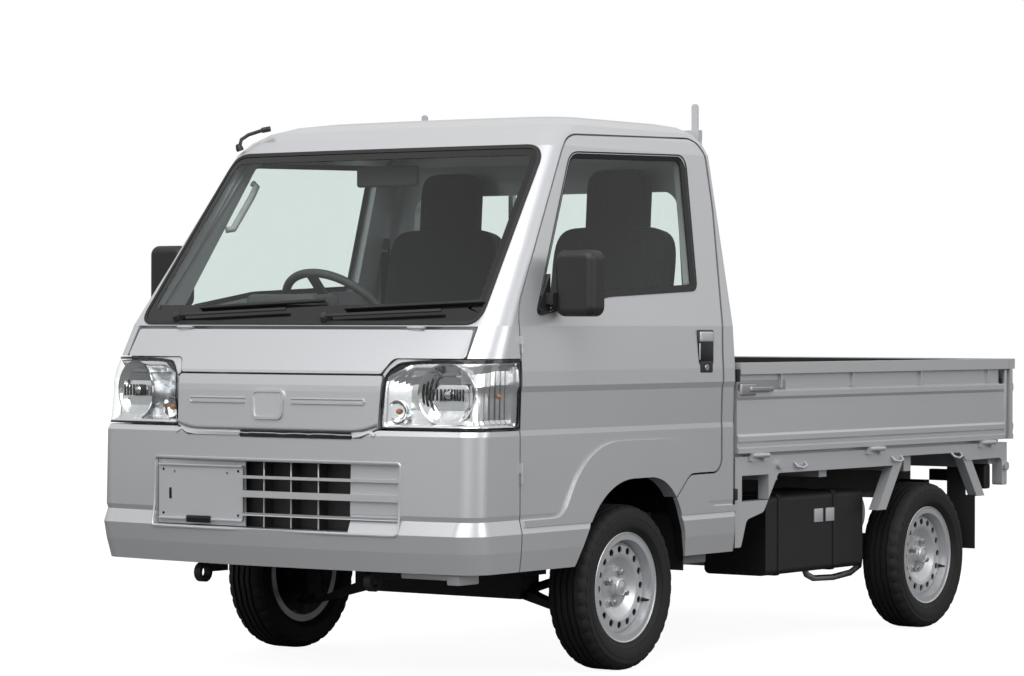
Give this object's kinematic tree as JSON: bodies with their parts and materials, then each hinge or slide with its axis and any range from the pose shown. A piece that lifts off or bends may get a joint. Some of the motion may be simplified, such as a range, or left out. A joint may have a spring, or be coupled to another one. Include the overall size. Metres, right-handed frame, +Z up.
{
  "type": "small cab-over pickup truck",
  "caption": "Small two-seat cab-over truck with a drop-side bed, opening doors, gates and front lid, steering front wheels and rolling wheels.",
  "frame": {"origin": "on the ground, under the middle of the truck's box", "axes": "+Z up, -Y forward, +X to the truck's left"},
  "size_m": [1.744, 3.3948, 1.785],
  "materials": {
    "body_paint": "silver metallic paint, clear coated",
    "bed_paint": "silver paint on pressed sheet",
    "black_plastic": "grained black plastic",
    "frame_black": "black underbody paint",
    "lamp": "clear lamp cover over a bright reflector",
    "tail_lamp": "red and clear lamp cover",
    "glass": "clear laminated glass",
    "interior": "grained grey trim",
    "seat": "dark woven seat cloth",
    "wheel_steel": "silver painted pressed steel",
    "tyre": "black rubber",
    "bare_steel": "plain steel",
    "engine": "cast aluminium",
    "rubber": "black moulded rubber",
    "bracket": "silver painted steel plate"
  },
  "bodies": {
    "chassis": {"chassis_frame": "frame_black", "cab_floor": "body_paint", "cab_back": "body_paint", "cab_roof": "body_paint", "pillar_left": "body_paint", "pillar_right": "body_paint", "cowl": "body_paint", "front_bumper": "body_paint", "front_garnish": "body_paint", "grille_bars": "body_paint", "grille_backing": "black_plastic", "plate_bracket": "bracket", "headlamp_left": "lamp", "headlamp_right": "lamp", "windscreen": "glass", "rear_window": "glass", "dashboard": "interior", "seat_left": "seat", "seat_right": "seat", "bed_floor": "bed_paint", "bed_side_frames": "bed_paint", "bed_front_board": "bed_paint", "cab_guard": "bed_paint", "tailgate_hinges": "bed_paint", "engine_block": "engine", "fuel_tank": "frame_black", "battery_box": "frame_black", "exhaust": "bare_steel", "front_suspension": "frame_black", "leaf_springs": "frame_black", "rear_axle": "frame_black", "tail_lamps": "tail_lamp", "rear_plate_bracket": "bracket", "mud_flaps": "rubber", "tow_hooks": "frame_black"},
    "knuckle_left": {"knuckle_left": "frame_black"},
    "wheel_front_left": {"tyre_front_left": "tyre", "rim_front_left": "wheel_steel"},
    "wheel_rear_left": {"tyre_rear_left": "tyre", "rim_rear_left": "wheel_steel"},
    "door_left": {"door_left": "body_paint", "door_glass_left": "glass", "mirror_left": "black_plastic"},
    "gate_left": {"gate_left": "bed_paint"},
    "knuckle_right": {"knuckle_right": "frame_black"},
    "wheel_front_right": {"tyre_front_right": "tyre", "rim_front_right": "wheel_steel"},
    "wheel_rear_right": {"tyre_rear_right": "tyre", "rim_rear_right": "wheel_steel"},
    "door_right": {"door_right": "body_paint", "door_glass_right": "glass", "mirror_right": "black_plastic"},
    "gate_right": {"gate_right": "bed_paint"},
    "tailgate": {"tailgate": "bed_paint"},
    "front_lid": {"front_lid": "body_paint"},
    "steering_wheel": {"steering_wheel": "interior"}
  },
  "joints": [
    {"name": "steer_left", "type": "hinge", "parent": "chassis", "child": "knuckle_left", "pos_m": [0.575, -0.7975, 0.18], "axis": [-0.1428, 0, 0.9898], "range_deg": [-33, 33]},
    {"name": "spin_front_left", "type": "hinge", "parent": "knuckle_left", "child": "wheel_front_left", "pos_m": [0.6375, -0.7975, 0.256], "axis": [1, 0, 0], "continuous": true},
    {"name": "spin_rear_left", "type": "hinge", "parent": "chassis", "child": "wheel_rear_left", "pos_m": [0.645, 1.1025, 0.256], "axis": [1, 0, 0], "continuous": true},
    {"name": "open_door_left", "type": "hinge", "parent": "chassis", "child": "door_left", "pos_m": [0.7375, -1.4105, 0.8], "axis": [0, 0, -1], "range_deg": [0, 70]},
    {"name": "drop_gate_left", "type": "hinge", "parent": "chassis", "child": "gate_left", "pos_m": [0.7295, 0.7225, 0.643], "axis": [0, 1, 0], "range_deg": [0, 175]},
    {"name": "steer_right", "type": "hinge", "parent": "chassis", "child": "knuckle_right", "pos_m": [-0.575, -0.7975, 0.18], "axis": [0.1428, 0, 0.9898], "range_deg": [-33, 33]},
    {"name": "spin_front_right", "type": "hinge", "parent": "knuckle_right", "child": "wheel_front_right", "pos_m": [-0.6375, -0.7975, 0.256], "axis": [1, 0, 0], "continuous": true},
    {"name": "spin_rear_right", "type": "hinge", "parent": "chassis", "child": "wheel_rear_right", "pos_m": [-0.645, 1.1025, 0.256], "axis": [1, 0, 0], "continuous": true},
    {"name": "open_door_right", "type": "hinge", "parent": "chassis", "child": "door_right", "pos_m": [-0.7375, -1.4105, 0.8], "axis": [0, 0, 1], "range_deg": [0, 70]},
    {"name": "drop_gate_right", "type": "hinge", "parent": "chassis", "child": "gate_right", "pos_m": [-0.7295, 0.7225, 0.643], "axis": [0, -1, 0], "range_deg": [0, 175]},
    {"name": "drop_tailgate", "type": "hinge", "parent": "chassis", "child": "tailgate", "pos_m": [0, 1.6895, 0.643], "axis": [-1, 0, 0], "range_deg": [0, 175]},
    {"name": "open_front_lid", "type": "hinge", "parent": "chassis", "child": "front_lid", "pos_m": [0, -1.5495, 1.058], "axis": [-1, 0, 0], "range_deg": [0, 60]},
    {"name": "turn_steering_wheel", "type": "hinge", "parent": "chassis", "child": "steering_wheel", "pos_m": [-0.33, -0.9415, 1.1], "axis": [0, 0.7071, 0.7071], "range_deg": [-528, 528]}
  ],
  "couplings": [
    {"joint": "steer_right", "follows": "steer_left", "ratio": 1},
    {"joint": "turn_steering_wheel", "follows": "steer_left", "ratio": 16}
  ]
}
